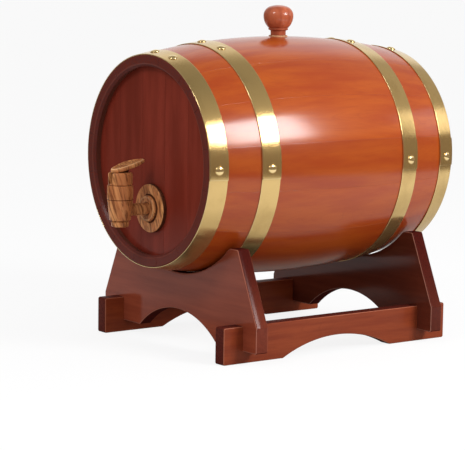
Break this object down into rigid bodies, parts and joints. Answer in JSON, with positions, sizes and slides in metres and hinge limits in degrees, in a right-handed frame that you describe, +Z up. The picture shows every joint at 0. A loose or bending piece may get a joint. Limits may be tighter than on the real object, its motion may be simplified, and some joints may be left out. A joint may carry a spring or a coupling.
{
  "type": "oak cask liquor dispenser",
  "caption": "Small stave-built oak cask with brass hoops, a turned bung and a wooden key tap, lying in a cross-lapped wooden cradle stand.",
  "frame": {"origin": "centre of the footprint, on the floor", "axes": "+Z up; the cask lies along Y, with the tap at -Y; +X is to the right seen from the tap end"},
  "size_m": [0.271, 0.366, 0.3526],
  "materials": {
    "cask_wood": "orange-red stain under gloss varnish, fine lengthwise grain",
    "head_wood": "dark red-brown stain under satin varnish, upright boards",
    "hoop_brass": "satin rolled brass strip",
    "rivet_brass": "domed brass rivet heads, lightly worn",
    "stand_wood": "mahogany stain under satin varnish, paler on worn edges",
    "tap_wood": "turned wood with dark grain streaks, oiled",
    "cork": "matt natural cork"
  },
  "bodies": {
    "stand": {"front_cradle_board": "stand_wood", "rear_cradle_board": "stand_wood", "left_rail": "stand_wood", "right_rail": "stand_wood"},
    "cask": {"stave_01": "cask_wood", "stave_02": "cask_wood", "stave_03": "cask_wood", "stave_04": "cask_wood", "stave_05": "cask_wood", "stave_06": "cask_wood", "stave_07": "cask_wood", "stave_08": "cask_wood", "stave_09": "cask_wood", "stave_10": "cask_wood", "stave_11": "cask_wood", "stave_12": "cask_wood", "stave_13": "cask_wood", "stave_14": "cask_wood", "stave_15": "cask_wood", "stave_16": "cask_wood", "front_head_board_1": "head_wood", "front_head_board_2": "head_wood", "front_head_board_3": "head_wood", "front_head_board_4": "head_wood", "front_head_board_5": "head_wood", "rear_head_board_1": "head_wood", "rear_head_board_2": "head_wood", "rear_head_board_3": "head_wood", "rear_head_board_4": "head_wood", "rear_head_board_5": "head_wood", "front_head_hoop": "hoop_brass", "front_quarter_hoop": "hoop_brass", "rear_quarter_hoop": "hoop_brass", "rear_head_hoop": "hoop_brass", "front_head_rivets": "rivet_brass", "front_quarter_rivets": "rivet_brass", "rear_quarter_rivets": "rivet_brass", "rear_head_rivets": "rivet_brass", "tap_flange": "tap_wood", "tap_body": "tap_wood", "tap_liner": "cork"},
    "bung": {"bung_knob": "cask_wood", "bung_cork": "cork"},
    "key": {"tap_key": "tap_wood", "tap_handle": "tap_wood", "tap_spout_ring": "tap_wood"}
  },
  "joints": [
    {"name": "cask_lift", "type": "slide", "parent": "stand", "child": "cask", "axis": [0, 0, 1], "range_m": [0, 0.1]},
    {"name": "bung_pull", "type": "slide", "parent": "cask", "child": "bung", "axis": [0, 0, 1], "range_m": [0, 0.05]},
    {"name": "key_turn", "type": "hinge", "parent": "cask", "child": "key", "pos_m": [0, -0.16975, 0.14656], "axis": [0, 0, 1], "range_deg": [0, 90]}
  ]
}
